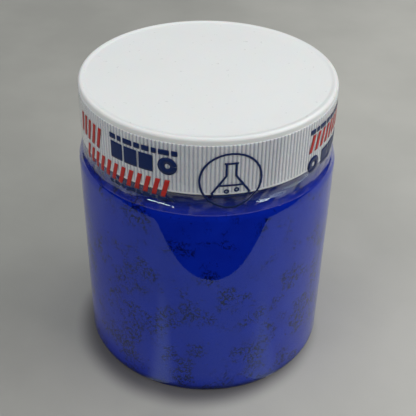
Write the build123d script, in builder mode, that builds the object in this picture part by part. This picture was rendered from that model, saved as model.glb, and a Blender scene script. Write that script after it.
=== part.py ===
from build123d import *
import math
import os

# Wide-mouth screw-top jar of blue pigment powder, closed with a ribbed cap and sealed with a clear printed tape.
# Millimetres, +Z up. The origin is the centre of the foot ring that the jar stands on, and -Y is its front.

# Driving dimensions
BODY_RADIUS = 47.5
CAP_RADIUS = 45.9  # over the rib crests
TOTAL_HEIGHT = 113.3
CAP_HEIGHT = 20.8
WALL = 0.9
FIT_GAP = 0.05  # between flat faces that bear on each other
CONTENT_GAP = 0.15  # between the powder and the wall that holds it

# Jar body
BASE_CORNER_RADIUS = 3.0
FOOT_INNER_RADIUS = 38.5
PUSH_UP = 1.6  # rise of the underside at the centre
BASE_THICKNESS = 1.1
SHOULDER_START = 81.7
SHOULDER_RADIUS = 8.5

# Neck finish
NECK_RADIUS = 42.7
NECK_BORE_RADIUS = 41.2
RIM_ROUND = 0.6
BEAD_HEIGHT = 1.6
BEAD_DEPTH = 1.0
BEAD_CENTRE_ABOVE_CAP_EDGE = 2.0

# Thread, right-handed, five turns to the inch
THREAD_PITCH = 5.08
THREAD_TURNS = 1.2
THREAD_DEPTH = 1.2
THREAD_ROOT_WIDTH = 3.0
THREAD_CREST_WIDTH = 1.5
THREAD_BITE = 0.25  # how far a thread's root is buried in its wall
JAR_THREAD_BELOW_RIM = 10.6  # from the rim down to the lower end of the jar's thread
CAP_THREAD_DROP = 2.4  # the cap's thread lies this far under the jar's

# Cap
SKIRT_BORE_RADIUS = 44.3
TOP_THICKNESS = 1.3
TOP_EDGE_RADIUS = 0.85
PANEL_RADIUS = 43.0
PANEL_RIM_RADIUS = 44.6
PANEL_DEPTH = 0.3
RIB_COUNT = 210
RIB_DEPTH = 0.35
RIB_BITE = 0.1  # how far the wall behind the ribs lies under their valleys
RIB_TOP_BELOW_TOP = 2.4
BAND_DEPTH = 0.15  # how far the plain band over the ribs lies under their crests
RIB_FOOT_HEIGHT = 0.6
SKIRT_ROUND = 0.25

# Liner
LINER_RADIUS = 43.3
LINER_THICKNESS = 1.0

# Seal tape, slit along the cap's lower edge
TAPE_THICKNESS = 0.2
TAPE_GAP = 0.03
TAPE_LOWER_EDGE = 84.9
TAPE_LEAVES_SHOULDER = 86.8
TAPE_SLIT = 0.3
TAPE_END_AT = 75.0  # degrees round from +X where the outer end of the tape lies
TAPE_OVERLAP = 24.0  # degrees

# Powder
FILL_HEIGHT = 97.0
FILL_DOME = 1.5

# Heights that follow from these
CAP_EDGE = TOTAL_HEIGHT - CAP_HEIGHT
PANEL_HEIGHT = TOTAL_HEIGHT - PANEL_DEPTH
CAP_CEILING = PANEL_HEIGHT - TOP_THICKNESS
LINER_TOP = CAP_CEILING - FIT_GAP
RIM_HEIGHT = LINER_TOP - LINER_THICKNESS - FIT_GAP
RIB_TOP = TOTAL_HEIGHT - RIB_TOP_BELOW_TOP
VALLEY_RADIUS = CAP_RADIUS - RIB_DEPTH
BAND_RADIUS = CAP_RADIUS - BAND_DEPTH
SHOULDER_CENTRE = BODY_RADIUS - SHOULDER_RADIUS
JAR_THREAD_START = RIM_HEIGHT - JAR_THREAD_BELOW_RIM


def polar(radius, degrees):
    """Point on a circle about the axis."""
    turn = math.radians(degrees)
    return (radius * math.cos(turn), radius * math.sin(turn))


def height_on_shoulder(radius, offset=0.0):
    """Height of the shoulder where it is this far from the axis, or of its surface moved out by offset."""
    return SHOULDER_START + math.sqrt((SHOULDER_RADIUS + offset) ** 2 - (radius - SHOULDER_CENTRE) ** 2)


def radius_on_shoulder(height, offset=0.0):
    """Radius of the shoulder at this height, or of its surface moved out by offset."""
    return SHOULDER_CENTRE + math.sqrt((SHOULDER_RADIUS + offset) ** 2 - (height - SHOULDER_START) ** 2)


def shoulder_point(degrees, offset=0.0):
    """Point on the shoulder's arc at this angle above the horizontal, in the profile plane."""
    across, up = polar(SHOULDER_RADIUS + offset, degrees)
    return (SHOULDER_CENTRE + across, SHOULDER_START + up)


def mid_shoulder(low_height, high_radius, offset=0.0):
    """Point on the shoulder's arc midway between a height and a radius, in the profile plane."""
    low = math.asin((low_height - SHOULDER_START) / (SHOULDER_RADIUS + offset))
    high = math.acos((high_radius - SHOULDER_CENTRE) / (SHOULDER_RADIUS + offset))
    return shoulder_point(math.degrees((low + high) / 2), offset)


def thread(wall_radius, inward, start_height):
    """A helical ridge on a wall, rising anticlockwise from +X. Its sides slope in towards the crest."""
    side = -1 if inward else 1
    root, crest = THREAD_ROOT_WIDTH / 2, THREAD_CREST_WIDTH / 2
    reach = THREAD_BITE + THREAD_DEPTH
    with BuildPart() as ridge:
        with BuildLine() as path:
            Helix(THREAD_PITCH, THREAD_PITCH * THREAD_TURNS, wall_radius - side * THREAD_BITE,
                  center=(0, 0, start_height))
        with BuildSketch(Plane(origin=path.line @ 0, x_dir=(side, 0, 0), z_dir=path.line % 0)):
            with BuildLine():
                Polyline((0, -root), (THREAD_BITE, -root), (reach, -crest), (reach, crest),
                         (THREAD_BITE, root), (0, root), close=True)
            make_face()
        sweep(path=path.line, is_frenet=True)
    return ridge.part


def make_jar():
    """Clear blow-moulded jar: foot ring, domed base, straight wall, shoulder, neck with bead and thread."""
    bead_height = CAP_EDGE + BEAD_CENTRE_ABOVE_CAP_EDGE
    inner = -WALL
    floor_edge = BASE_CORNER_RADIUS + BASE_THICKNESS
    bore_radius = BODY_RADIUS - WALL
    corner = 1 - math.sqrt(0.5)
    with BuildPart() as jar:
        with BuildSketch(Plane.XZ):
            with BuildLine():
                Line((0, PUSH_UP), (0, PUSH_UP + BASE_THICKNESS))
                RadiusArc((FOOT_INNER_RADIUS, BASE_THICKNESS), (0, PUSH_UP + BASE_THICKNESS),
                          -(FOOT_INNER_RADIUS**2 + PUSH_UP**2) / (2 * PUSH_UP))
                Line((FOOT_INNER_RADIUS, BASE_THICKNESS), (bore_radius - BASE_CORNER_RADIUS, BASE_THICKNESS))
                ThreePointArc((bore_radius - BASE_CORNER_RADIUS, BASE_THICKNESS),
                              (bore_radius - BASE_CORNER_RADIUS * corner, BASE_THICKNESS + BASE_CORNER_RADIUS * corner),
                              (bore_radius, floor_edge))
                Line((bore_radius, floor_edge), (bore_radius, SHOULDER_START))
                ThreePointArc((bore_radius, SHOULDER_START), mid_shoulder(SHOULDER_START, NECK_BORE_RADIUS, inner),
                              (NECK_BORE_RADIUS, height_on_shoulder(NECK_BORE_RADIUS, inner)))
                Polyline((NECK_BORE_RADIUS, height_on_shoulder(NECK_BORE_RADIUS, inner)),
                         (NECK_BORE_RADIUS, RIM_HEIGHT), (NECK_RADIUS, RIM_HEIGHT),
                         (NECK_RADIUS, bead_height + BEAD_HEIGHT / 2))
                ThreePointArc((NECK_RADIUS, bead_height + BEAD_HEIGHT / 2),
                              (NECK_RADIUS + BEAD_DEPTH, bead_height),
                              (NECK_RADIUS, bead_height - BEAD_HEIGHT / 2))
                Line((NECK_RADIUS, bead_height - BEAD_HEIGHT / 2), (NECK_RADIUS, height_on_shoulder(NECK_RADIUS)))
                ThreePointArc((NECK_RADIUS, height_on_shoulder(NECK_RADIUS)),
                              mid_shoulder(SHOULDER_START, NECK_RADIUS), (BODY_RADIUS, SHOULDER_START))
                Line((BODY_RADIUS, SHOULDER_START), (BODY_RADIUS, BASE_CORNER_RADIUS))
                ThreePointArc((BODY_RADIUS, BASE_CORNER_RADIUS),
                              (BODY_RADIUS - BASE_CORNER_RADIUS * corner, BASE_CORNER_RADIUS * corner),
                              (BODY_RADIUS - BASE_CORNER_RADIUS, 0))
                Line((BODY_RADIUS - BASE_CORNER_RADIUS, 0), (FOOT_INNER_RADIUS, 0))
                RadiusArc((FOOT_INNER_RADIUS, 0), (0, PUSH_UP),
                          -(FOOT_INNER_RADIUS**2 + PUSH_UP**2) / (2 * PUSH_UP))
            make_face()
        revolve(axis=Axis.Z)
        rim_edges = jar.edges().filter_by(GeomType.CIRCLE).group_by(Axis.Z)[-1]
        fillet(rim_edges, RIM_ROUND)
        add(thread(NECK_RADIUS, False, JAR_THREAD_START))
    jar.part.label = "jar"
    return jar.part


def rib_outline():
    """Outline of the ribbed skirt: one arc for each rib, and a sharp valley between each two."""
    pitch = 360 / RIB_COUNT
    for rib in range(RIB_COUNT):
        crest = rib * pitch
        ThreePointArc(polar(VALLEY_RADIUS, crest - pitch / 2), polar(CAP_RADIUS, crest),
                      polar(VALLEY_RADIUS, crest + pitch / 2))


def make_cap():
    """White moulded screw cap: ribbed skirt, rounded top edge round a slightly sunk panel, thread inside."""
    rib_foot = CAP_EDGE + RIB_FOOT_HEIGHT
    under_ribs = VALLEY_RADIUS - RIB_BITE
    with BuildPart() as ribs:
        with BuildSketch(Plane.XY.offset(rib_foot)):
            with BuildLine():
                rib_outline()
            make_face()
            Circle((SKIRT_BORE_RADIUS + under_ribs) / 2, mode=Mode.SUBTRACT)
        extrude(amount=RIB_TOP - rib_foot)
    with BuildPart() as cap:
        with BuildSketch(Plane.XZ):
            with BuildLine():
                Polyline((0, CAP_CEILING), (SKIRT_BORE_RADIUS, CAP_CEILING), (SKIRT_BORE_RADIUS, CAP_EDGE),
                         (CAP_RADIUS - SKIRT_ROUND, CAP_EDGE))
                RadiusArc((CAP_RADIUS - SKIRT_ROUND, CAP_EDGE), (CAP_RADIUS, CAP_EDGE + SKIRT_ROUND), -SKIRT_ROUND)
                Polyline((CAP_RADIUS, CAP_EDGE + SKIRT_ROUND), (CAP_RADIUS, rib_foot), (under_ribs, rib_foot),
                         (under_ribs, RIB_TOP), (BAND_RADIUS, RIB_TOP),
                         (BAND_RADIUS, TOTAL_HEIGHT - TOP_EDGE_RADIUS))
                RadiusArc((BAND_RADIUS, TOTAL_HEIGHT - TOP_EDGE_RADIUS),
                          (BAND_RADIUS - TOP_EDGE_RADIUS, TOTAL_HEIGHT), -TOP_EDGE_RADIUS)
                Line((BAND_RADIUS - TOP_EDGE_RADIUS, TOTAL_HEIGHT), (PANEL_RIM_RADIUS, TOTAL_HEIGHT))
                Spline((PANEL_RIM_RADIUS, TOTAL_HEIGHT), (PANEL_RADIUS, PANEL_HEIGHT),
                       tangents=((-1, 0), (-1, 0)))
                Polyline((PANEL_RADIUS, PANEL_HEIGHT), (0, PANEL_HEIGHT), (0, CAP_CEILING))
            make_face()
        revolve(axis=Axis.Z)
        add(ribs.part)
        add(thread(SKIRT_BORE_RADIUS, True, JAR_THREAD_START - CAP_THREAD_DROP))
    cap.part.label = "cap"
    return cap.part


def make_liner():
    """Foam sealing disc that lies loose under the cap's ceiling and bears on the jar's rim."""
    with BuildPart() as liner:
        with BuildSketch(Plane.XY.offset(LINER_TOP - LINER_THICKNESS)):
            Circle(LINER_RADIUS)
        extrude(amount=LINER_THICKNESS)
    liner.part.label = "cap_liner"
    return liner.part


def make_powder():
    """The powder as one closed body: it fills the jar to above the shoulder, with a low dome on top."""
    gap = WALL + CONTENT_GAP
    side = BODY_RADIUS - gap
    neck = NECK_BORE_RADIUS - CONTENT_GAP
    floor = BASE_THICKNESS + CONTENT_GAP
    corner = 1 - math.sqrt(0.5)
    with BuildPart() as powder:
        with BuildSketch(Plane.XZ):
            with BuildLine():
                RadiusArc((FOOT_INNER_RADIUS, floor), (0, PUSH_UP + floor),
                          -(FOOT_INNER_RADIUS**2 + PUSH_UP**2) / (2 * PUSH_UP))
                Line((FOOT_INNER_RADIUS, floor), (side - BASE_CORNER_RADIUS, floor))
                ThreePointArc((side - BASE_CORNER_RADIUS, floor),
                              (side - BASE_CORNER_RADIUS * corner, floor + BASE_CORNER_RADIUS * corner),
                              (side, floor + BASE_CORNER_RADIUS))
                Line((side, floor + BASE_CORNER_RADIUS), (side, SHOULDER_START))
                ThreePointArc((side, SHOULDER_START), mid_shoulder(SHOULDER_START, neck, -gap),
                              (neck, height_on_shoulder(neck, -gap)))
                Line((neck, height_on_shoulder(neck, -gap)), (neck, FILL_HEIGHT - FILL_DOME))
                RadiusArc((neck, FILL_HEIGHT - FILL_DOME), (0, FILL_HEIGHT),
                          -(neck**2 + FILL_DOME**2) / (2 * FILL_DOME))
                Line((0, FILL_HEIGHT), (0, PUSH_UP + floor))
            make_face()
        revolve(axis=Axis.Z)
    powder.part.label = "pigment_powder"
    return powder.part


def neck_strip_profile(lift=0.0):
    """Section of the tape below the slit: down from the cap's edge, then on to the shoulder. lift moves it out."""
    inside = TAPE_GAP + lift
    outside = inside + TAPE_THICKNESS
    top = CAP_EDGE - TAPE_SLIT / 2
    leaves = TAPE_LEAVES_SHOULDER
    middle = (leaves + TAPE_LOWER_EDGE) / 2
    Line((radius_on_shoulder(leaves, inside), leaves), (CAP_RADIUS + inside, top))
    Line((CAP_RADIUS + inside, top), (CAP_RADIUS + outside, top))
    Line((CAP_RADIUS + outside, top), (radius_on_shoulder(leaves, outside), leaves))
    ThreePointArc((radius_on_shoulder(leaves, outside), leaves), (radius_on_shoulder(middle, outside), middle),
                  (radius_on_shoulder(TAPE_LOWER_EDGE, outside), TAPE_LOWER_EDGE))
    Line((radius_on_shoulder(TAPE_LOWER_EDGE, outside), TAPE_LOWER_EDGE),
         (radius_on_shoulder(TAPE_LOWER_EDGE, inside), TAPE_LOWER_EDGE))
    ThreePointArc((radius_on_shoulder(TAPE_LOWER_EDGE, inside), TAPE_LOWER_EDGE),
                  (radius_on_shoulder(middle, inside), middle), (radius_on_shoulder(leaves, inside), leaves))


def skirt_strip_profile(lift=0.0):
    """Section of the tape on the cap's skirt, from the slit up to the tops of the ribs. lift moves it out."""
    inside = CAP_RADIUS + TAPE_GAP + lift
    outside = inside + TAPE_THICKNESS
    bottom = CAP_EDGE + TAPE_SLIT / 2
    Polyline((inside, bottom), (outside, bottom), (outside, RIB_TOP), (inside, RIB_TOP), close=True)


def make_strip(name, profile):
    """One turn of tape with this section, and a second layer where its outer end overlaps the first."""
    end_plane = Plane.XZ.rotated((0, 0, TAPE_END_AT))
    with BuildPart() as strip:
        with BuildSketch(Plane.XZ):
            with BuildLine():
                profile()
            make_face()
        revolve(axis=Axis.Z)
        with BuildSketch(end_plane):
            with BuildLine():
                profile(TAPE_THICKNESS)
            make_face()
        revolve(axis=Axis.Z, revolution_arc=TAPE_OVERLAP)
    strip.part.label = name
    return strip.part


os.makedirs("parts", exist_ok=True)
PIECES = [
    make_jar(),
    make_powder(),
    make_cap(),
    make_liner(),
    make_strip("seal_tape_on_cap", skirt_strip_profile),
    make_strip("seal_tape_on_jar", neck_strip_profile),
]
for piece in PIECES:
    export_step(piece, f"parts/{piece.label}.step")
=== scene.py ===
import bpy
import math
from mathutils import Matrix, Vector


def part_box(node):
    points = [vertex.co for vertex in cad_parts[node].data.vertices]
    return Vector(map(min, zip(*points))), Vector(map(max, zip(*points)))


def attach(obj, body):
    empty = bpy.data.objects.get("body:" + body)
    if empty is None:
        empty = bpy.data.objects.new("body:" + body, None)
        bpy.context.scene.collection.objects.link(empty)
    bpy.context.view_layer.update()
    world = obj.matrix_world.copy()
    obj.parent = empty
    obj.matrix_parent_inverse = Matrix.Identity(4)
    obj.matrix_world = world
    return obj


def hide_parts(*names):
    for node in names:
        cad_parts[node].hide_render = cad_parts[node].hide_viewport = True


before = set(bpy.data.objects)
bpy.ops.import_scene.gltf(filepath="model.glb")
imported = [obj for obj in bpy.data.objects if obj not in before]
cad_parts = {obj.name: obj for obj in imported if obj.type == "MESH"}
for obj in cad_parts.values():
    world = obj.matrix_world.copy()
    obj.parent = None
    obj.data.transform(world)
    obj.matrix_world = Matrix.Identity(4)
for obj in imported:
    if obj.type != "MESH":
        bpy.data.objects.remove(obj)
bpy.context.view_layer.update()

# Screw-top jar of blue pigment powder. Lengths here are in millimetres, and mesh code turns them into metres.
MM = 0.001
SHARP_DEGREES = 40.0  # edges turned more than this are shaded as hard edges

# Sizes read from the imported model
JAR_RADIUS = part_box("jar")[1].x / MM
RIM_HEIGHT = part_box("jar")[1].z / MM
CAP_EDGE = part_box("cap")[0].z / MM
CAP_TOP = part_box("cap")[1].z / MM
CAP_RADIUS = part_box("cap")[1].x / MM
FILL_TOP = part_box("pigment_powder")[1].z / MM
RIB_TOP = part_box("seal_tape_on_cap")[1].z / MM
TAPE_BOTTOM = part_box("seal_tape_on_jar")[0].z / MM

# Jar: the same sizes as the CAD design
JAR_SEGMENTS = 360
WALL = 0.9
BASE_CORNER = 3.0
FOOT_RADIUS = 38.5
PUSH_UP = 1.6
BASE_THICKNESS = 1.1
SHOULDER_RADIUS = 8.5
SHOULDER_START = 81.7
SHOULDER_CENTRE = JAR_RADIUS - SHOULDER_RADIUS
NECK_RADIUS = 42.7
NECK_BORE = 41.2
RIM_ROUND = 0.6
BEAD_CENTRE = CAP_EDGE + 2.0
BEAD_HALF = 0.8
BEAD_DEPTH = 1.0

# Powder
POWDER_SEGMENTS = 288
POWDER_PRESS = 0.04  # how far the powder is pressed against the wall, so that no air shows between them
FILL_DOME = 1.5
FILL_DIPS = 0.6  # depth of the soft dips in its top

# Thread
PITCH = 5.08
THREAD_DEGREES = 432.0
THREAD_DEPTH = 1.2
THREAD_ROOT_HALF = 1.5
THREAD_CREST_HALF = 0.75
THREAD_RAMP = 9.0
JAR_THREAD_START = RIM_HEIGHT - 10.6
CAP_THREAD_START = JAR_THREAD_START - 2.4

# Cap
SKIRT_BORE = 44.3
RIB_COUNT = 210
RIB_DEPTH = 0.35
FINE_PER_RIB = 8
COARSE_PER_RIB = 2
RIB_FOOT = CAP_EDGE + 0.6
RIB_END = 0.5  # height over which the top of a rib is rounded off
BAND_DEPTH = 0.15  # how far the plain band over the ribs lies under their crests
TOP_EDGE_RADIUS = 1.05
SKIRT_ROUND = 0.25
PANEL_DEPTH = 0.3
PANEL_RADIUS = 43.0
PANEL_RIM_RADIUS = 44.6
TOP_THICKNESS = 1.3
CEILING = CAP_TOP - PANEL_DEPTH - TOP_THICKNESS
CEILING_ROUND = 0.5

# Tape
TAPE_THICKNESS = 0.08
TAPE_CLEARANCE = 0.04
TAPE_LEAVES = 86.8  # height where it leaves the shoulder
TAPE_SAG = 0.25  # how far it draws in between the shoulder and the cap's edge
TAPE_STEP = 0.5  # degrees between two columns of its mesh
TAPE_END_ANGLE = 165.0
TAPE_OVERLAP = 24.0
OVERLAP_LIFT = 0.02  # air under the second layer
TAPE_TEAR = 0.35  # depth, in degrees, of the teeth that a dispenser leaves along its end
SLIT_HALF = 0.03
FILM_IOR = 1.47
INK_LIFT = 0.02
INK_THICKNESS = 0.015

# Folds of the tape under the cap's edge: angle and half-width in degrees, depth in mm, lean in degrees per mm
TAPE_FOLDS = (
    (-58, 1.6, -0.35, 0.8),
    (-37, 2.2, 0.30, -0.9),
    (-31, 1.0, -0.28, 1.2),
    (-18, 1.5, 0.32, 0.6),
    (-15, 0.9, -0.30, -0.5),
    (-3, 2.5, -0.12, 0.3),
    (19, 1.2, -0.35, 0.9),
    (22.5, 1.4, 0.40, 0.9),
    (30, 3.2, 0.30, -0.4),
    (43, 1.5, -0.22, 1.1),
    (68, 2.0, 0.28, -0.7),
    (96, 1.8, -0.32, 0.9),
    (124, 2.6, 0.25, 0.5),
    (151, 1.4, -0.30, -0.8),
    (185, 1.7, 0.30, 0.7),
    (214, 2.4, -0.26, 0.4),
    (243, 1.3, 0.33, -0.9),
    (276, 2.1, -0.24, 0.6),
)
FOLD_MIDDLE = 89.5  # height where a fold lies at its own angle

# Print on the tape: lengths, gaps, widths and angles in degrees along it, heights and line widths in mm
BLOCK_GAP = 0.9
BLOCK_ROUND = 0.3
DASH_LENGTHS = (3.4, 2.2, 4.6, 2.8)
SMALL_DASH_LENGTHS = (2.2, 3.2, 1.8, 4.0)
BLOCK_LENGTH = 6.4
DISC_HOLE = 0.9
BAR_WIDTH = 2.1
BAR_GAP = 2.0
BAR_LEAN = 2.2
GROUP_STARTS = (-70.0, 166.0)
TURNED_GROUP_START = 47.5
SIGN_ANGLES = (10.0, 128.0)
SIGN_HEIGHT = 97.8
SIGN_RADIUS = 10.6
SIGN_LINE = 0.75

# Stage
FLOOR_HALF = 3000.0
CARD_HEIGHT = 0.5  # the cards that only show in reflections lie this far over the floor
DARK_EDGE = -113.0  # where the bright floor ends in front
DARK_EDGE_TURN = 5.0
DARK_RING_RADIUS = 450.0  # where it ends at the sides
DARK_RING_HALF = 130.0
DARK_FRONT_CLIMB = 66.0  # how high the dark wall behind it climbs, in degrees
DARK_SIDE_CLIMB = 16.0
STREAK_LENGTH = 70.0
STREAK_GLOW = 0.60


# ---------------------------------------------------------------- meshes

def make_object(name, verts_mm, faces, smooth=True):
    """New mesh object from vertices in millimetres."""
    mesh = bpy.data.meshes.new(name)
    mesh.from_pydata([[c * MM for c in v] for v in verts_mm], [], faces)
    mesh.validate()
    mesh.update()
    for polygon in mesh.polygons:
        polygon.use_smooth = smooth
    mesh.set_sharp_from_angle(angle=math.radians(SHARP_DEGREES))
    obj = bpy.data.objects.new(name, mesh)
    bpy.context.scene.collection.objects.link(obj)
    return obj


def on_circle(radius, degrees):
    """x and y at this radius. The angle runs from the front, -Y, towards +X."""
    turn = math.radians(degrees)
    return radius * math.sin(turn), -radius * math.cos(turn)


def lathe(name, rows):
    """Closed mesh from rows round the axis. A row is (segments, shape): shape(degrees) is (radius, height).

    The first and last rows are drawn in to a point. Where two rows have different segment counts, one count
    is a multiple of the other, and the faces between them fan out.
    """
    verts, faces, starts = [], [], []
    for segments, shape in rows:
        starts.append(len(verts))
        for i in range(segments):
            degrees = 360 * i / segments
            radius, height = shape(degrees)
            verts.append((*on_circle(radius, degrees), height))
    for row in range(len(rows) - 1):
        low, high = starts[row], starts[row + 1]
        n_low, n_high = rows[row][0], rows[row + 1][0]
        coarse = min(n_low, n_high)
        for i in range(coarse):
            per_low, per_high = n_low // coarse, n_high // coarse
            lower = [low + (i * per_low + k) % n_low for k in range(per_low + 1)]
            upper = [high + (i * per_high + k) % n_high for k in range(per_high + 1)]
            faces.append(lower + upper[::-1])
    for start, segments, first in ((starts[0], rows[0][0], True), (starts[-1], rows[-1][0], False)):
        centre = len(verts)
        verts.append((0, 0, verts[start][2]))
        for i in range(segments):
            a, b = start + i, start + (i + 1) % segments
            faces.append([b, a, centre] if first else [a, b, centre])
    return make_object(name, verts, faces)


def arc(centre, radius, start, end, steps):
    """Points on an arc in the profile plane, as (radius, height). Angles are in degrees, up from outward."""
    points = []
    for i in range(steps + 1):
        turn = math.radians(start + (end - start) * i / steps)
        points.append((centre[0] + radius * math.cos(turn), centre[1] + radius * math.sin(turn)))
    return points


def line(start, end, steps):
    """Points from start to end, both included."""
    return [(start[0] + (end[0] - start[0]) * i / steps, start[1] + (end[1] - start[1]) * i / steps)
            for i in range(steps + 1)]


def smooth_step(low, high, value):
    """0 below low, 1 above high, and a smooth rise between. With low above high it falls instead."""
    t = min(1.0, max(0.0, (value - low) / (high - low)))
    return t * t * (3 - 2 * t)


def thread_height(degrees, height, start):
    """How far a thread stands out of its wall here. It rises anticlockwise from +X, seen from above."""
    along = (degrees - 90) % 360
    best = 0.0
    for turn in (0, 360):
        run = along + turn
        if run > THREAD_DEGREES:
            continue
        off = abs(height - (start + PITCH * run / 360))
        side = 1 - smooth_step(THREAD_CREST_HALF, THREAD_ROOT_HALF, off)
        ends = smooth_step(0, THREAD_RAMP, min(run, THREAD_DEGREES - run))
        best = max(best, THREAD_DEPTH * side * ends)
    return best


def threaded_wall(point, way, start):
    """Shape of one row of a threaded wall. way is 1 where the thread stands outward and -1 where inward."""
    radius, height = point
    return lambda degrees: (radius + way * thread_height(degrees, height, start), height)


# ---------------------------------------------------------------- jar

def shoulder_radius(height, offset=0.0):
    """Radius of the jar's shoulder, or of its surface moved out by offset, at this height."""
    return SHOULDER_CENTRE + math.sqrt((SHOULDER_RADIUS + offset) ** 2 - (height - SHOULDER_START) ** 2)


def body_section(offset, base_height, neck_radius):
    """Base corner, side and shoulder of the jar, up to the neck, for its outer surface moved by offset."""
    radius = JAR_RADIUS + offset
    corner = (JAR_RADIUS + offset - BASE_CORNER, base_height + BASE_CORNER)
    shoulder = SHOULDER_RADIUS + offset
    top = math.degrees(math.acos((neck_radius - SHOULDER_CENTRE) / shoulder))
    points = arc(corner, BASE_CORNER, -90, 0, 14)
    points += line((radius, base_height + BASE_CORNER), (radius, SHOULDER_START), 40)[1:]
    points += arc((SHOULDER_CENTRE, SHOULDER_START), shoulder, 0, top, 24)[1:]
    return points


def base_dome(height):
    """The base from near the axis out to the foot ring, domed up at the centre."""
    points = []
    for i in range(1, 13):
        radius = FOOT_RADIUS * i / 12
        points.append((radius, height + PUSH_UP * (1 - (radius / FOOT_RADIUS) ** 2)))
    return points


def make_jar():
    """Clear jar: one closed wall with its inside and outside, the thread and the bead on the neck."""
    outside = base_dome(0) + body_section(0, 0, NECK_RADIUS)
    neck_foot = outside[-1][1]
    bead = []
    for i in range(1, 12):
        rise = -BEAD_HALF + 2 * BEAD_HALF * i / 12
        bead.append((NECK_RADIUS + BEAD_DEPTH * math.sqrt(1 - (rise / BEAD_HALF) ** 2), BEAD_CENTRE + rise))
    below_bead = line((NECK_RADIUS, neck_foot), (NECK_RADIUS, BEAD_CENTRE - BEAD_HALF), 4)[1:]
    outside += below_bead + bead + [(NECK_RADIUS, BEAD_CENTRE + BEAD_HALF)]
    rim_height = RIM_HEIGHT - RIM_ROUND
    threaded = line((NECK_RADIUS, BEAD_CENTRE + BEAD_HALF), (NECK_RADIUS, rim_height), 60)[1:]
    rim = arc((NECK_RADIUS - RIM_ROUND, rim_height), RIM_ROUND, 0, 90, 6)[1:]
    rim += arc((NECK_BORE + RIM_ROUND, rim_height), RIM_ROUND, 90, 180, 6)
    inside = body_section(-WALL, BASE_THICKNESS, NECK_BORE)[::-1] + base_dome(BASE_THICKNESS)[::-1]
    rows = [(JAR_SEGMENTS, lambda degrees, p=p: p) for p in outside]
    rows += [(JAR_SEGMENTS, threaded_wall(p, 1, JAR_THREAD_START)) for p in threaded]
    rows += [(JAR_SEGMENTS, lambda degrees, p=p: p) for p in rim + inside]
    jar = lathe("jar_clear", rows)
    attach(jar, "jar")
    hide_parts("jar")
    return jar


def make_powder():
    """The powder against the jar's inside, with a slightly uneven top."""
    gap = WALL - POWDER_PRESS
    neck = NECK_BORE + POWDER_PRESS
    floor = BASE_THICKNESS - POWDER_PRESS
    side = base_dome(floor) + body_section(-gap, floor, neck)
    fill_edge = FILL_TOP - FILL_DOME
    side += line(side[-1], (neck, fill_edge - 0.4), 4)[1:]
    rows = [(POWDER_SEGMENTS, lambda degrees, p=p: p) for p in side]
    for i in range(26):
        radius = (neck - 0.3) * (1 - i / 26)
        rows.append((POWDER_SEGMENTS, lambda degrees, r=radius: (r, powder_top(r, degrees))))
    powder = lathe("powder", rows)
    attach(powder, "jar")
    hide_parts("pigment_powder")
    return powder


def powder_top(radius, degrees):
    """Height of the powder's top: a low dome with soft dips."""
    share = radius / NECK_BORE
    x, y = on_circle(radius, degrees)
    dips = 0.5 + 0.25 * math.sin(0.21 * x + 1.3) * math.cos(0.17 * y) + 0.25 * math.sin(0.33 * y - 0.12 * x)
    return FILL_TOP - FILL_DOME * share ** 2 - FILL_DIPS * dips * (1 - share ** 4)


# ---------------------------------------------------------------- cap

def valley_depth(degrees):
    """How far the skirt lies under the crests of the ribs here: one rounded rib for each pitch."""
    within = (degrees * RIB_COUNT / 360) % 1.0
    return RIB_DEPTH * (2 * within - 1) ** 2


def rib_radius(degrees, plain_depth, share):
    """Radius of the skirt on its way, by this share, from a plain wall under the crests to the full ribs."""
    return CAP_RADIUS - (plain_depth + (valley_depth(degrees) - plain_depth) * share)


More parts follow.
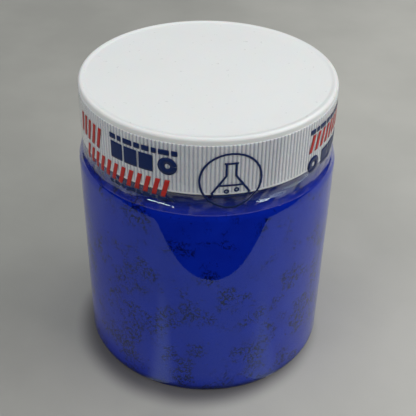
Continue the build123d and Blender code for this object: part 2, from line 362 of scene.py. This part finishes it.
def make_cap():
    """White cap: panel, rim, rounded edge, ribbed skirt, and the threaded bore with its ceiling."""
    fine = RIB_COUNT * FINE_PER_RIB
    coarse = RIB_COUNT * COARSE_PER_RIB
    panel_height = CAP_TOP - PANEL_DEPTH
    top = [(PANEL_RADIUS * share, panel_height) for share in (0.25, 0.5, 0.75, 0.9)]
    for i in range(9):
        share = i / 8
        radius = PANEL_RADIUS + (PANEL_RIM_RADIUS - PANEL_RADIUS) * share
        top.append((radius, panel_height + PANEL_DEPTH * smooth_step(0, 1, share)))
    band = CAP_RADIUS - BAND_DEPTH
    top += arc((band - TOP_EDGE_RADIUS, CAP_TOP - TOP_EDGE_RADIUS), TOP_EDGE_RADIUS, 90, 0, 10)
    rows = [(coarse, lambda degrees, p=p: p) for p in top]
    rows.append((coarse, lambda degrees: (CAP_RADIUS - RIB_DEPTH, RIB_TOP + 0.05)))
    for i in range(8):
        share = i / 7
        depth = math.sqrt(1 - (1 - share) ** 2)
        height = RIB_TOP - RIB_END * share
        rows.append((fine, lambda degrees, d=depth, z=height: (rib_radius(degrees, RIB_DEPTH, d), z)))
    for height in (RIB_TOP - 4, CAP_EDGE + 10, CAP_EDGE + 4, RIB_FOOT + 0.25):
        rows.append((fine, lambda degrees, z=height: (rib_radius(degrees, 0, 1), z)))
    rows.append((fine, lambda degrees: (rib_radius(degrees, 0, 0.4), RIB_FOOT + 0.06)))
    skirt = [(CAP_RADIUS, RIB_FOOT)]
    skirt += arc((CAP_RADIUS - SKIRT_ROUND, CAP_EDGE + SKIRT_ROUND), SKIRT_ROUND, 0, -90, 5)
    skirt += arc((SKIRT_BORE + SKIRT_ROUND, CAP_EDGE + SKIRT_ROUND), SKIRT_ROUND, -90, -180, 4)
    rows += [(coarse, lambda degrees, p=p: p) for p in skirt]
    bore = line((SKIRT_BORE, CAP_EDGE + SKIRT_ROUND), (SKIRT_BORE, CEILING - CEILING_ROUND), 60)[1:]
    rows += [(coarse, threaded_wall(p, -1, CAP_THREAD_START)) for p in bore]
    ceiling = arc((SKIRT_BORE - CEILING_ROUND, CEILING - CEILING_ROUND), CEILING_ROUND, 0, 90, 4)[1:]
    ceiling += [(30, CEILING), (15, CEILING)]
    rows += [(coarse, lambda degrees, p=p: p) for p in ceiling]
    cap = lathe("cap_white", rows)
    cap.data.flip_normals()
    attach(cap, "cap")
    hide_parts("cap")
    return cap


# ---------------------------------------------------------------- tape and print

def wrinkle(degrees, height):
    """How far the loose part of the tape stands off between the cap's edge and the shoulder."""
    loose = smooth_step(TAPE_BOTTOM + 1.0, TAPE_LEAVES + 1.2, height)
    loose *= 1 - smooth_step(CAP_EDGE - 1.3, CAP_EDGE - 0.1, height)
    wave = 0.10 * math.sin(math.radians(degrees * 7 + 20))
    wave += 0.07 * math.sin(math.radians(degrees * 17 + height * 40))
    wave += 0.05 * math.sin(math.radians(degrees * 31 - height * 65 + 60))
    for centre, width, depth, lean in TAPE_FOLDS:
        off = (degrees - centre - lean * (height - FOLD_MIDDLE) + 180) % 360 - 180
        wave += depth * math.exp(-(off / width) ** 2)
    return loose * wave


def tape_radius(height):
    """Radius of the tape's inner face: up the cap's skirt, or from the cap's edge down onto the shoulder."""
    on_cap = CAP_RADIUS + TAPE_CLEARANCE
    if height >= CAP_EDGE:
        return on_cap
    if height <= TAPE_LEAVES:
        return shoulder_radius(height, TAPE_CLEARANCE)
    low = shoulder_radius(TAPE_LEAVES, TAPE_CLEARANCE)
    share = (height - TAPE_LEAVES) / (CAP_EDGE - TAPE_LEAVES)
    return low + (on_cap - low) * share - TAPE_SAG * math.sin(math.pi * share)


def tape_point(degrees, height, lift=0.0):
    """Point on the tape's outer face, raised by lift."""
    radius = tape_radius(height) + TAPE_THICKNESS + wrinkle(degrees, height) + lift
    return (*on_circle(radius, degrees), height)


def make_tape(name, bottom, top, rows, body, node):
    """One strip of tape: a full turn, and a second layer where the outer end overlaps."""
    columns = int((360 + TAPE_OVERLAP) / TAPE_STEP)
    outer, inner, faces = [], [], []
    for column in range(columns + 1):
        run = column * TAPE_STEP
        degrees = TAPE_END_ANGLE - TAPE_OVERLAP + run
        layer = (TAPE_THICKNESS + OVERLAP_LIFT) * smooth_step(352, 360, run)
        for row in range(rows + 1):
            height = bottom + (top - bottom) * row / rows
            edge = TAPE_TEAR * ((row * 3 / rows) % 1.0) if column == columns else 0.0
            outer.append(tape_point(degrees + edge, height, layer))
            inner.append(tape_point(degrees + edge, height, layer - TAPE_THICKNESS))
    shift = len(outer)
    rim = [column * (rows + 1) for column in range(columns + 1)]
    rim += [columns * (rows + 1) + row for row in range(1, rows + 1)]
    rim += [column * (rows + 1) + rows for column in range(columns - 1, -1, -1)]
    rim += list(range(rows - 1, 0, -1))
    for column in range(columns):
        for row in range(rows):
            a = column * (rows + 1) + row
            quad = [a, a + rows + 1, a + rows + 2, a + 1]
            faces += [quad, [shift + corner for corner in quad[::-1]]]
    for a, b in zip(rim, rim[1:] + rim[:1]):
        faces.append([a, shift + a, shift + b, b])
    strip = make_object(name, outer + inner, faces)
    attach(strip, body)
    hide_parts(node)
    return strip


class Print:
    """Collects printed shapes in angle and height, and makes one mesh for each ink and body."""

    def __init__(self, name):
        self.name = name
        self.sheets = {"upper": ([], []), "lower": ([], [])}

    def quad(self, corners):
        """A four-sided patch given by corners (angle, height), in order round it, split at the slit."""
        for side in ("upper", "lower"):
            limit = CAP_EDGE + SLIT_HALF if side == "upper" else CAP_EDGE - SLIT_HALF
            kept = clip(corners, limit, side == "upper")
            if len(kept) >= 3:
                verts, faces = self.sheets[side]
                start = len(verts)
                verts.extend(tape_point(angle, height, INK_LIFT) for angle, height in kept)
                faces.append(list(range(start, start + len(kept))))

    def bar(self, left, right, low, high, round_off=0.0):
        """A solid block, with its corners rounded off by this many millimetres."""
        count = max(2, math.ceil((right - left) / 0.6))
        rows = max(1, math.ceil((high - low) / 0.8))
        edges = [left + (right - left) * i / count for i in range(count + 1)]
        per_degree = math.radians(1) * CAP_RADIUS
        if round_off:
            extra = [k * round_off / per_degree / 4 for k in range(1, 5)]
            edges += [left + e for e in extra] + [right - e for e in extra]
            edges = sorted(set(edges))
        for a, b in zip(edges, edges[1:]):
            inset = [corner_inset(min(e - left, right - e) * per_degree, round_off) for e in (a, b)]
            for row in range(rows):
                share0, share1 = row / rows, (row + 1) / rows
                z = [(low + i) + (high - low - 2 * i) * share for i in inset for share in (share0, share1)]
                self.quad([(a, z[0]), (b, z[2]), (b, z[3]), (a, z[1])])

    def stroke(self, points, width):
        """A line of this width through points (angle, height), with square ends and mitred corners."""
        per_degree = math.radians(1) * CAP_RADIUS
        flat = [Vector((angle * per_degree, height)) for angle, height in points]
        sides = []
        for i, point in enumerate(flat):
            before = (point - flat[i - 1]).normalized() if i else None
            after = (flat[i + 1] - point).normalized() if i + 1 < len(flat) else None
            direction = ((before or after) + (after or before)).normalized()
            normal = Vector((-direction.y, direction.x))
            reach = width / 2 / max(0.5, normal.dot(Vector((-(after or before).y, (after or before).x))))
            sides.append((point + normal * reach, point - normal * reach))
        for (a, b), (c, d) in zip(sides, sides[1:]):
            steps = max(1, math.ceil((c - a).length / 0.7))
            for i in range(steps):
                s, t = i / steps, (i + 1) / steps
                corners = [a.lerp(c, s), a.lerp(c, t), b.lerp(d, t), b.lerp(d, s)]
                self.quad([(p.x / per_degree, p.y) for p in corners][::-1])

    def build(self, material):
        """Makes the meshes and hands them to the bodies that carry them."""
        for side, body in (("upper", "cap"), ("lower", "jar")):
            verts, faces = self.sheets[side]
            if not faces:
                continue
            sheet = make_object(f"{self.name}_{side}", verts, faces)
            weld = sheet.modifiers.new("weld", "WELD")
            weld.merge_threshold = 0.002 * MM
            body_of_ink = sheet.modifiers.new("thickness", "SOLIDIFY")
            body_of_ink.thickness = INK_THICKNESS * MM
            body_of_ink.offset = 1
            sheet.data.materials.append(material)
            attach(sheet, body)


def corner_inset(distance, radius):
    """How far a rounded block's edge draws in at this distance from its end."""
    if distance >= radius:
        return 0.0
    return radius - math.sqrt(max(0.0, radius ** 2 - (radius - distance) ** 2))


def clip(corners, limit, keep_above):
    """The part of a polygon above or below a height."""
    kept = []
    for (a0, z0), (a1, z1) in zip(corners, corners[1:] + corners[:1]):
        inside0 = z0 >= limit if keep_above else z0 <= limit
        inside1 = z1 >= limit if keep_above else z1 <= limit
        if inside0:
            kept.append((a0, z0))
        if inside0 != inside1 and abs(z1 - z0) > 1e-9:
            share = (limit - z0) / (z1 - z0)
            kept.append((a0 + (a1 - a0) * share, limit))
    return kept


# ---------------------------------------------------------------- materials

def new_material(name):
    """Empty node material."""
    material = bpy.data.materials.new(name)
    material.use_nodes = True
    material.node_tree.nodes.clear()
    return material


def add(material, kind, settings=None, **inputs):
    """New node. Inputs go by name, with underscores for spaces, and hold a value or another node's output.

    An input that starts with an underscore, as in _0, goes by its number.
    """
    node = material.node_tree.nodes.new(kind)
    for key, value in (settings or {}).items():
        setattr(node, key, value)
    for key, value in inputs.items():
        socket = node.inputs[int(key[1:])] if key[0] == "_" else node.inputs[key.replace("_", " ")]
        if isinstance(value, bpy.types.NodeSocket):
            material.node_tree.links.new(value, socket)
        else:
            socket.default_value = value
    return node


def position_mm(material):
    """Place on the object, in millimetres."""
    place = add(material, "ShaderNodeTexCoord").outputs["Object"]
    return add(material, "ShaderNodeVectorMath", {"operation": "SCALE"}, _0=place, Scale=1000.0).outputs[0]


def noise(material, place, size_mm, detail=2.0, roughness=0.5):
    """Soft noise whose features are about this size."""
    node = add(material, "ShaderNodeTexNoise", Vector=place, Scale=1 / size_mm, Detail=detail,
               Roughness=roughness)
    return node.outputs["Fac"]


def rise(material, value, low, high):
    """0 below low and 1 above high, smooth between. With low above high it falls instead."""
    node = add(material, "ShaderNodeMapRange", {"interpolation_type": "SMOOTHSTEP"}, Value=value)
    flipped = low > high
    node.inputs["From Min"].default_value = min(low, high)
    node.inputs["From Max"].default_value = max(low, high)
    node.inputs["To Min"].default_value = 1.0 if flipped else 0.0
    node.inputs["To Max"].default_value = 0.0 if flipped else 1.0
    return node.outputs["Result"]


def between(material, value, low, high):
    """A number that runs from low to high as value runs from 0 to 1."""
    node = add(material, "ShaderNodeMapRange", Value=value)
    node.inputs["To Min"].default_value = low
    node.inputs["To Max"].default_value = high
    return node.outputs["Result"]


def math_node(material, operation, a, b):
    """One arithmetic step."""
    return add(material, "ShaderNodeMath", {"operation": operation}, _0=a, _1=b).outputs[0]


def vector_node(material, operation, a, b):
    """One step of vector arithmetic."""
    return add(material, "ShaderNodeVectorMath", {"operation": operation}, _0=a, _1=b).outputs[0]


def blend_colours(material, share, first, second):
    """first where share is 0, second where it is 1."""
    node = add(material, "ShaderNodeMix", {"data_type": "RGBA"}, _0=share)
    for index, colour in ((6, first), (7, second)):
        if isinstance(colour, bpy.types.NodeSocket):
            material.node_tree.links.new(colour, node.inputs[index])
        else:
            node.inputs[index].default_value = (*colour, 1.0)
    return node.outputs[2]


def bump(material, height, distance_mm, strength=1.0):
    """Normal from a height that runs from 0 to 1 over this depth."""
    node = add(material, "ShaderNodeBump", Height=height, Strength=strength, Distance=distance_mm * MM)
    return node.outputs["Normal"]


def show(material, shader):
    """Makes this shader the material's surface."""
    output = add(material, "ShaderNodeOutputMaterial")
    material.node_tree.links.new(shader, output.inputs["Surface"])


def surface(material, **inputs):
    """Principled shader as the material's surface."""
    show(material, add(material, "ShaderNodeBsdfPrincipled", **inputs).outputs[0])


def mix_shaders(material, share, first, second):
    """first where share is 0, second where it is 1."""
    return add(material, "ShaderNodeMixShader", Fac=share, _1=first, _2=second).outputs[0]


def clear_plastic():
    """The jar: clear and glossy, with the slow ripple of a moulded wall.

    Light reaches the powder straight through it.
    """
    material = new_material("clear_plastic")
    place = position_mm(material)
    ripple = noise(material, place, 24.0, 1.0)
    haze = noise(material, place, 5.0, 4.0)
    wall = add(material, "ShaderNodeBsdfPrincipled", Base_Color=(0.975, 0.985, 1.0, 1.0),
               Transmission_Weight=1.0, IOR=1.6, Specular_Tint=(0.72, 0.98, 1.0, 1.0),
               Roughness=between(material, haze, 0.0, 0.05), Normal=bump(material, ripple, 0.08))
    passes = add(material, "ShaderNodeBsdfTransparent", Color=(0.95, 0.955, 0.965, 1.0))
    path = add(material, "ShaderNodeLightPath")
    lit = math_node(material, "MAXIMUM", path.outputs["Is Shadow Ray"], path.outputs["Is Diffuse Ray"])
    show(material, mix_shaders(material, lit, wall.outputs[0], passes.outputs[0]))
    return material


def powder_blue():
    """Ultramarine powder against the wall: clusters of dark cracks and pits, specks, slow changes of tone,
    and painted shade that darkens it under the cap.
    """
    material = new_material("pigment")
    place = position_mm(material)
    shift = add(material, "ShaderNodeTexNoise", Vector=place, Scale=0.45, Detail=3.0).outputs["Color"]
    shift = add(material, "ShaderNodeVectorMath", {"operation": "SCALE"}, _0=shift, Scale=3.2).outputs[0]
    warped = vector_node(material, "ADD", place, shift)
    height = add(material, "ShaderNodeSeparateXYZ", Vector=place).outputs["Z"]
    more_below = between(material, rise(material, height, 68.0, 42.0), 0.0, 0.07)
    patches = math_node(material, "ADD", noise(material, place, 11.0, 3.0, 0.6), more_below)
    clusters = rise(material, patches, 0.52, 0.66)
    broken = rise(material, noise(material, place, 1.5, 3.0, 0.65), 0.45, 0.51)
    cells = add(material, "ShaderNodeTexVoronoi", {"feature": "DISTANCE_TO_EDGE"}, Vector=warped, Scale=0.65)
    veins = rise(material, cells.outputs["Distance"], 0.21, 0.09)
    veins = math_node(material, "MULTIPLY", math_node(material, "MULTIPLY", veins, broken), clusters)
    pits = rise(material, noise(material, warped, 0.7, 2.0, 0.6), 0.57, 0.64)
    pits = math_node(material, "MULTIPLY", pits, clusters)
    sparse = rise(material, noise(material, place, 4.5, 2.0), 0.50, 0.60)
    specks = rise(material, noise(material, warped, 1.1, 3.0, 0.7), 0.60, 0.66)
    specks = math_node(material, "MULTIPLY", specks, sparse)
    cracks = math_node(material, "MAXIMUM", math_node(material, "MAXIMUM", veins, pits), specks)
    tone = noise(material, place, 9.0, 3.0)
    blue = blend_colours(material, tone, (0.0003, 0.011, 0.29), (0.001, 0.020, 0.42))
    # painted shade: the powder in the shoulder and neck is coloured darker, for the shade cast by the cap and
    # tape
    painted_shade_under_cap = rise(material, height, 84.0, 88.5)
    blue = blend_colours(material, painted_shade_under_cap, blue, (0.001, 0.015, 0.19))
    colour = blend_colours(material, cracks, blue, (0.0006, 0.004, 0.075))
    grain = noise(material, place, 0.35, 2.0)
    relief = math_node(material, "SUBTRACT", grain, cracks)
    surface(material, Base_Color=colour, Roughness=0.85, Specular_IOR_Level=0.05,
            Normal=bump(material, relief, 0.12, 0.6))
    return material


def rib_valley_shade(material, place):
    """Where the painted shade between the ribs goes: 1 at the bottom of the valleys between the ribs, and 0
    on the crests and everywhere else on the cap.
    """
    parts = add(material, "ShaderNodeSeparateXYZ", Vector=place).outputs
    flat = add(material, "ShaderNodeCombineXYZ", X=parts["X"], Y=parts["Y"]).outputs[0]
    radius = add(material, "ShaderNodeVectorMath", {"operation": "LENGTH"}, _0=flat).outputs["Value"]
    deep = rise(material, radius, CAP_RADIUS - 0.02, CAP_RADIUS - 0.20)
    outer = rise(material, radius, CAP_RADIUS - 2 * RIB_DEPTH, CAP_RADIUS - 1.3 * RIB_DEPTH)
    above_foot = rise(material, parts["Z"], RIB_FOOT, RIB_FOOT + 0.2)
    below_top = rise(material, parts["Z"], RIB_TOP, RIB_TOP - 0.3)
    in_height = math_node(material, "MULTIPLY", above_foot, below_top)
    return math_node(material, "MULTIPLY", math_node(material, "MULTIPLY", deep, outer), in_height)


def white_plastic():
    """The cap: white polypropylene with a faint orange-peel skin, and painted shade that darkens the valleys
    between the ribs.
    """
    material = new_material("white_plastic")
    place = position_mm(material)
    skin = noise(material, place, 1.6, 2.0)
    tone = noise(material, place, 20.0, 2.0)
    unshaded_white = blend_colours(material, tone, (0.73, 0.765, 0.76), (0.77, 0.80, 0.795))
    # painted shade: the valleys between the ribs are coloured darker, as if less light reached them
    colour = blend_colours(material, rib_valley_shade(material, place), unshaded_white, (0.53, 0.56, 0.62))
    surface(material, Base_Color=colour, Roughness=between(material, skin, 0.24, 0.36),
            Subsurface_Weight=0.15, Subsurface_Scale=0.001, Normal=bump(material, skin, 0.02, 0.5))
    return material


def liner_foam():
    """The liner: matt white foam with fine cells."""
    material = new_material("liner_foam")
    place = position_mm(material)
    cells = add(material, "ShaderNodeTexVoronoi", Vector=place, Scale=2.5).outputs["Distance"]
    surface(material, Base_Color=blend_colours(material, cells, (0.80, 0.80, 0.77), (0.88, 0.88, 0.86)),
            Roughness=0.8, Normal=bump(material, cells, 0.08, 0.5))
    return material


def tape_film():
    """The tape: thin clear film with fine creases, a little haze from its adhesive, and a paler band along
    its lower edge that is a painted highlight for the edge's glint.

    A thin film hardly bends what is seen through it, so it lets light through and mirrors on both faces.
    """
    material = new_material("tape_film")
    place = position_mm(material)
    height = add(material, "ShaderNodeSeparateXYZ", Vector=place).outputs["Z"]
    loose = rise(material, height, CAP_EDGE + 0.3, CAP_EDGE - 0.3)
    stretched = vector_node(material, "MULTIPLY", place, (0.12, 0.12, 1.0))
    pulls = math_node(material, "MULTIPLY", noise(material, stretched, 1.1, 3.0, 0.6), loose)
    creases = noise(material, place, 2.4, 3.0, 0.55)
    normal = bump(material, math_node(material, "ADD", creases, pulls), 0.03, 0.7)
    back = add(material, "ShaderNodeNewGeometry").outputs["Backfacing"]
    bending = between(material, back, FILM_IOR, 1 / FILM_IOR)
    mirror = add(material, "ShaderNodeFresnel", IOR=bending, Normal=normal)
    clear = add(material, "ShaderNodeBsdfTransparent", Color=(0.985, 0.987, 0.995, 1.0))
    gloss = add(material, "ShaderNodeBsdfGlossy", Color=(1.0, 1.0, 1.0, 1.0), Normal=normal,
                Roughness=between(material, creases, 0.03, 0.12))
    film = mix_shaders(material, mirror.outputs[0], clear.outputs[0], gloss.outputs[0])
    milk = add(material, "ShaderNodeBsdfDiffuse", Color=(0.82, 0.84, 0.92, 1.0))
    haze = between(material, rise(material, noise(material, place, 4.0, 3.0), 0.50, 0.68), 0.006, 0.03)
    # painted highlight: a milky band along the tape's lower edge stands in for the thin light line of its
    # edge glint
    painted_edge_glint = rise(material, height, TAPE_BOTTOM + 0.30, TAPE_BOTTOM + 0.12)
    haze = math_node(material, "MAXIMUM", haze, between(material, painted_edge_glint, 0.0, 0.04))
    show(material, mix_shaders(material, haze, film, milk.outputs[0]))
    return material


def ink(name, dark, light):
    """Printing ink with slightly uneven cover."""
    material = new_material(name)
    place = position_mm(material)
    cover = noise(material, place, 0.8, 3.0)
    surface(material, Base_Color=blend_colours(material, cover, dark, light),
            Roughness=between(material, cover, 0.25, 0.4), Specular_IOR_Level=0.2)
    return material


# ---------------------------------------------------------------- printed pattern

def dashes(sheet, left, right, low, high, lengths):
    """A row of short blocks with the given lengths in degrees, repeated until the row is full."""
    angle, i = left, 0
    while angle < right - 1.0:
        end = min(right, angle + lengths[i % len(lengths)])
        sheet.bar(angle, end, low, high, BLOCK_ROUND)
        angle, i = end + BLOCK_GAP, i + 1


def hatching(sheet, left, right, low, high):
    """A row of slanted bars."""
    angle = left
    rows, parts = 8, 4
    while angle + BAR_WIDTH + BAR_LEAN <= right + 0.1:
        for row in range(rows):
            z0, z1 = [low + (high - low) * k / rows for k in (row, row + 1)]
            lean0, lean1 = [BAR_LEAN * k / rows for k in (row, row + 1)]
            for part in range(parts):
                a, b = [angle + BAR_WIDTH * k / parts for k in (part, part + 1)]
                sheet.quad([(a + lean0, z0), (b + lean0, z0), (b + lean1, z1), (a + lean1, z1)])
        angle += BAR_WIDTH + BAR_GAP


def disc(sheet, centre, middle, radius, hole):
    """A thick ring, or a disc with a small hole."""
    per_degree = math.radians(1) * CAP_RADIUS
    points = []
    for i in range(33):
        turn = 2 * math.pi * i / 32
        points.append((centre + (radius + hole) / 2 * math.cos(turn) / per_degree,
                       middle + (radius + hole) / 2 * math.sin(turn)))
    sheet.stroke(points, radius - hole)


def flask_sign(sheet, centre, middle, radius, width):
    """A plain flask drawn in outline inside a ring."""
    per_degree = math.radians(1) * CAP_RADIUS
    disc(sheet, centre, middle, radius, radius - width)
    lip = ((-2.3, 6.6), (2.3, 6.6))
    right = ((1.6, 6.6), (1.6, 2.0), (6.2, -4.6), (5.4, -6.0))
    flask = right + tuple((-x, y) for x, y in reversed(right))
    level = ((-4.2, -1.6), (4.2, -1.6))
    for shape in (lip, flask, level):
        sheet.stroke([(centre + x / per_degree, middle + y) for x, y in shape], width)
    for x, y in ((-1.4, -3.9), (1.9, -3.4)):
        disc(sheet, centre + x / per_degree, middle + y, 0.9, 0.3)


def make_print(navy_ink, red_ink):
    """The tape's print: two groups of blocks and hatching, a third turned over, and ring signs between."""
    navy, red = Print("print_navy"), Print("print_red")
    for start in GROUP_STARTS:
        hatching(red, start, start + 21.5, 98.7, 106.9)
        dashes(navy, start + 26.5, start + 58.5, 106.3, 108.3, DASH_LENGTHS)
        dashes(navy, start + 27.0, start + 48.0, 99.1, 105.4, (BLOCK_LENGTH,))
        disc(navy, start + 54.3, 102.3, 3.3, DISC_HOLE)
        hatching(red, start + 6.0, start + 58.5, 90.2, 97.0)
        dashes(navy, start + 25.0, start + 58.5, 88.5, 89.9, SMALL_DASH_LENGTHS)
    start = TURNED_GROUP_START
    dashes(navy, start, start + 32.0, 106.5, 108.3, DASH_LENGTHS)
    hatching(red, start, start + 52.5, 99.3, 105.9)
    disc(navy, start + 4.0, 94.2, 3.2, DISC_HOLE)
    dashes(navy, start + 10.5, start + 31.5, 91.1, 97.3, (BLOCK_LENGTH,))
    hatching(red, start + 37.0, start + 58.5, 90.3, 97.9)
    for centre in SIGN_ANGLES:
        flask_sign(navy, centre, SIGN_HEIGHT, SIGN_RADIUS, SIGN_LINE)
    navy.build(navy_ink)
    red.build(red_ink)


# ---------------------------------------------------------------- build the object

jar = make_jar()
jar.data.materials.append(clear_plastic())
powder = make_powder()
powder.data.materials.append(powder_blue())
cap = make_cap()
cap.data.materials.append(white_plastic())
film = tape_film()
upper_tape = make_tape("tape_upper", CAP_EDGE + SLIT_HALF, RIB_TOP, 20, "cap", "seal_tape_on_cap")
lower_tape = make_tape("tape_lower", TAPE_BOTTOM, CAP_EDGE - SLIT_HALF, 24, "jar", "seal_tape_on_jar")
for strip in (upper_tape, lower_tape):
    strip.data.materials.append(film)
make_print(ink("ink_navy", (0.006, 0.016, 0.075), (0.010, 0.026, 0.11)),
           ink("ink_red", (0.36, 0.018, 0.018), (0.48, 0.035, 0.03)))
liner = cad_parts["cap_liner"]
liner.data.materials.clear()
liner.data.materials.append(liner_foam())


# ---------------------------------------------------------------- floor, lights and camera

def make_floor():
    """Plain pale floor, with painted light that makes it lighter to the right and a painted contact shadow
    that makes it dark close to the jar at the front and the left.
    """
    half = FLOOR_HALF
    corners = [(-half, -half, 0), (half, -half, 0), (half, half, 0), (-half, half, 0)]
    floor = make_object("floor", corners, [[0, 1, 2, 3]], smooth=False)
    material = new_material("floor_grey")
    place = position_mm(material)
    mottle = noise(material, place, 60.0, 4.0)
    parts = add(material, "ShaderNodeSeparateXYZ", Vector=place).outputs
    # painted light: the floor's colour grows lighter towards the right, for a light from that side
    across = math_node(material, "MULTIPLY", parts["Y"], 0.15)
    across = math_node(material, "SUBTRACT", parts["X"], across)
    painted_light_falloff = between(material, rise(material, across, -140.0, 130.0), -0.42, 0.38)
    tone = math_node(material, "ADD", mottle, painted_light_falloff)
    open_floor = blend_colours(material, tone, (0.315, 0.32, 0.295), (0.455, 0.46, 0.425))
    # painted shadow: a dark ring hugging the jar's base, shifted to the front and left, for its contact
    # shadow
    shifted = vector_node(material, "ADD", place, (3.0, 5.0, 0.0))
    distance = add(material, "ShaderNodeVectorMath", {"operation": "LENGTH"}, _0=shifted).outputs["Value"]
    outside_painted_shadow = rise(material, distance, JAR_RADIUS - 5.0, JAR_RADIUS + 5.0)
    colour = blend_colours(material, outside_painted_shadow, (0.11, 0.11, 0.115), open_floor)
    surface(material, Base_Color=colour, Roughness=0.6)
    floor.data.materials.append(material)


def only_reflected(card, material):
    """Keeps a card on the stage for reflections alone: it neither shows, nor lights, nor shades anything."""
    card.visible_camera = False
    card.visible_diffuse = False
    card.visible_shadow = False
    card.visible_transmission = False
    card.data.materials.append(material)


def make_dark_cards():
    """The dark room round the floor, as the jar's wall and shoulder mirror it.

    In front the floor ends at a straight edge, and at the sides it ends further off. Round it stands a wall
    that is tall in front and low at the sides.
    """
    material = new_material("dark_card")
    surface(material, Base_Color=(0.004, 0.004, 0.005, 1.0), Roughness=0.9, Specular_IOR_Level=0.0)
    far = FLOOR_HALF
    level = CARD_HEIGHT
    corners = [(-far, -far, level), (far, -far, level), (far, DARK_EDGE, level), (-far, DARK_EDGE, level)]
    front = make_object("dark_card_front", corners, [[0, 1, 2, 3]], smooth=False)
    front.rotation_euler.z = math.radians(DARK_EDGE_TURN)
    only_reflected(front, material)

    verts, faces = [], []
    steps = 72
    for i in range(steps + 1):
        degrees = DARK_RING_HALF * (2 * i / steps - 1)
        in_front = smooth_step(85, 40, abs(degrees))
        climb = math.radians(DARK_SIDE_CLIMB + (DARK_FRONT_CLIMB - DARK_SIDE_CLIMB) * in_front)
        verts.append((*on_circle(DARK_RING_RADIUS, degrees), level + 0.1))
        verts.append((*on_circle(far, degrees), level + 0.1))
        verts.append((*on_circle(far, degrees), far * math.tan(climb)))
    for i in range(steps):
        a = 3 * i
        faces += [[a, a + 1, a + 4, a + 3], [a + 1, a + 2, a + 5, a + 4]]
    only_reflected(make_object("dark_card_ring", verts, faces, smooth=False), material)


def make_light_streaks():
    """Two soft glowing strips on the floor, running out from the jar: a painted reflection, no lamp, seen
    only as streaks mirrored in its wall.
    """
    for angle, half in ((-20.0, 9.0), (29.0, 12.0)):
        material = new_material("light_streak")
        place = add(material, "ShaderNodeSeparateXYZ", Vector=position_mm(material)).outputs
        off = math_node(material, "ABSOLUTE", place["X"], 0.0)
        share = rise(material, place["Y"], -STREAK_LENGTH, -18.0)
        share = math_node(material, "MULTIPLY", rise(material, off, half, 1.0), share)
        clear = add(material, "ShaderNodeBsdfTransparent", Color=(1.0, 1.0, 1.0, 1.0))
        # painted reflection: the strip glows, though it is no lamp
        bright = add(material, "ShaderNodeEmission", Color=(1.0, 1.0, 1.0, 1.0), Strength=STREAK_GLOW)
        show(material, mix_shaders(material, share, clear.outputs[0], bright.outputs[0]))
        wide = 1.4 * half
        corners = [(-half, 0, 0), (half, 0, 0), (wide, -STREAK_LENGTH, 0), (-wide, -STREAK_LENGTH, 0)]
        strip = make_object("light_streak", corners, [[0, 1, 2, 3]], smooth=False)
        strip.location = Vector((*on_circle(JAR_RADIUS + 1.0, angle), CARD_HEIGHT + 0.3)) * MM
        strip.rotation_euler.z = math.radians(2 * angle)
        only_reflected(strip, material)


def make_light(name, place, size, power, colour, tall=1.0, mirrored=True):
    """Soft oval light aimed at the jar, this wide and tall times as high. Surfaces mirror it if mirrored."""
    data = bpy.data.lights.new(name, "AREA")
    data.shape = "ELLIPSE"
    data.size = size
    data.size_y = size * tall
    data.energy = power
    data.color = colour
    light = bpy.data.objects.new(name, data)
    light.location = place
    light.rotation_euler = (Vector((0, 0, 0.05)) - Vector(place)).to_track_quat("-Z", "Y").to_euler()
    light.visible_glossy = mirrored
    bpy.context.scene.collection.objects.link(light)


def make_camera():
    """Camera looking down at the front of the jar, turned very slightly about its own axis."""
    height, back, side = 244.72, 261.88, 0.75
    tilt, roll = 0.6294, 0.0194
    forward = Vector((0, math.cos(tilt), -math.sin(tilt)))
    level = Vector((1, 0, 0))
    over = Vector((0, math.sin(tilt), math.cos(tilt)))
    right = level * math.cos(roll) + over * math.sin(roll)
    up = over * math.cos(roll) - level * math.sin(roll)
    data = bpy.data.cameras.new("camera")
    data.sensor_width = 36.0
    data.lens = 70.94
    data.clip_start = 0.01
    camera = bpy.data.objects.new("camera", data)
    turn = Matrix((right, up, -forward)).transposed().to_4x4()
    camera.matrix_world = Matrix.Translation(Vector((side, -back, height)) * MM) @ turn
    bpy.context.scene.collection.objects.link(camera)
    bpy.context.scene.camera = camera


def make_world():
    """Soft daylight from above, fading to a darker room towards the horizon."""
    world = bpy.data.worlds.new("daylight")
    world.use_nodes = True
    direction = add(world, "ShaderNodeTexCoord").outputs["Generated"]
    height = add(world, "ShaderNodeSeparateXYZ", Vector=direction).outputs["Z"]
    background = world.node_tree.nodes["Background"]
    sky = blend_colours(world, rise(world, height, 0.25, 0.62), (0.16, 0.16, 0.165), (0.98, 0.99, 1.0))
    world.node_tree.links.new(sky, background.inputs["Color"])
    background.inputs["Strength"].default_value = 0.60
    bpy.context.scene.world = world


make_floor()
make_dark_cards()
make_light_streaks()
make_light("key", (0.40, 0.14, 0.58), 0.4, 1.2, (1.0, 0.99, 0.97))
make_light("front_fill", (0.30, -1.15, 1.08), 1.4, 1.0, (1.0, 1.0, 0.99), mirrored=False)
make_light("left_fill", (-1.15, -0.45, 0.75), 1.0, 3.2, (1.0, 1.0, 1.0), mirrored=False)
make_light("right_fill", (1.15, -0.45, 0.75), 1.0, 4.8, (1.0, 1.0, 1.0), mirrored=False)
make_light("window", (0.78, -0.53, 0.88), 0.22, 1.3, (1.0, 0.87, 0.87))
make_light("side_window", (0.98, -0.30, 0.98), 0.34, 0.8, (1.0, 0.86, 0.94))
make_light("tube_lamp", (-0.68, -0.76, 0.85), 0.50, 1.6, (1.0, 0.92, 0.90), tall=0.14)
make_camera()
make_world()
bpy.context.scene.view_settings.view_transform = "Standard"
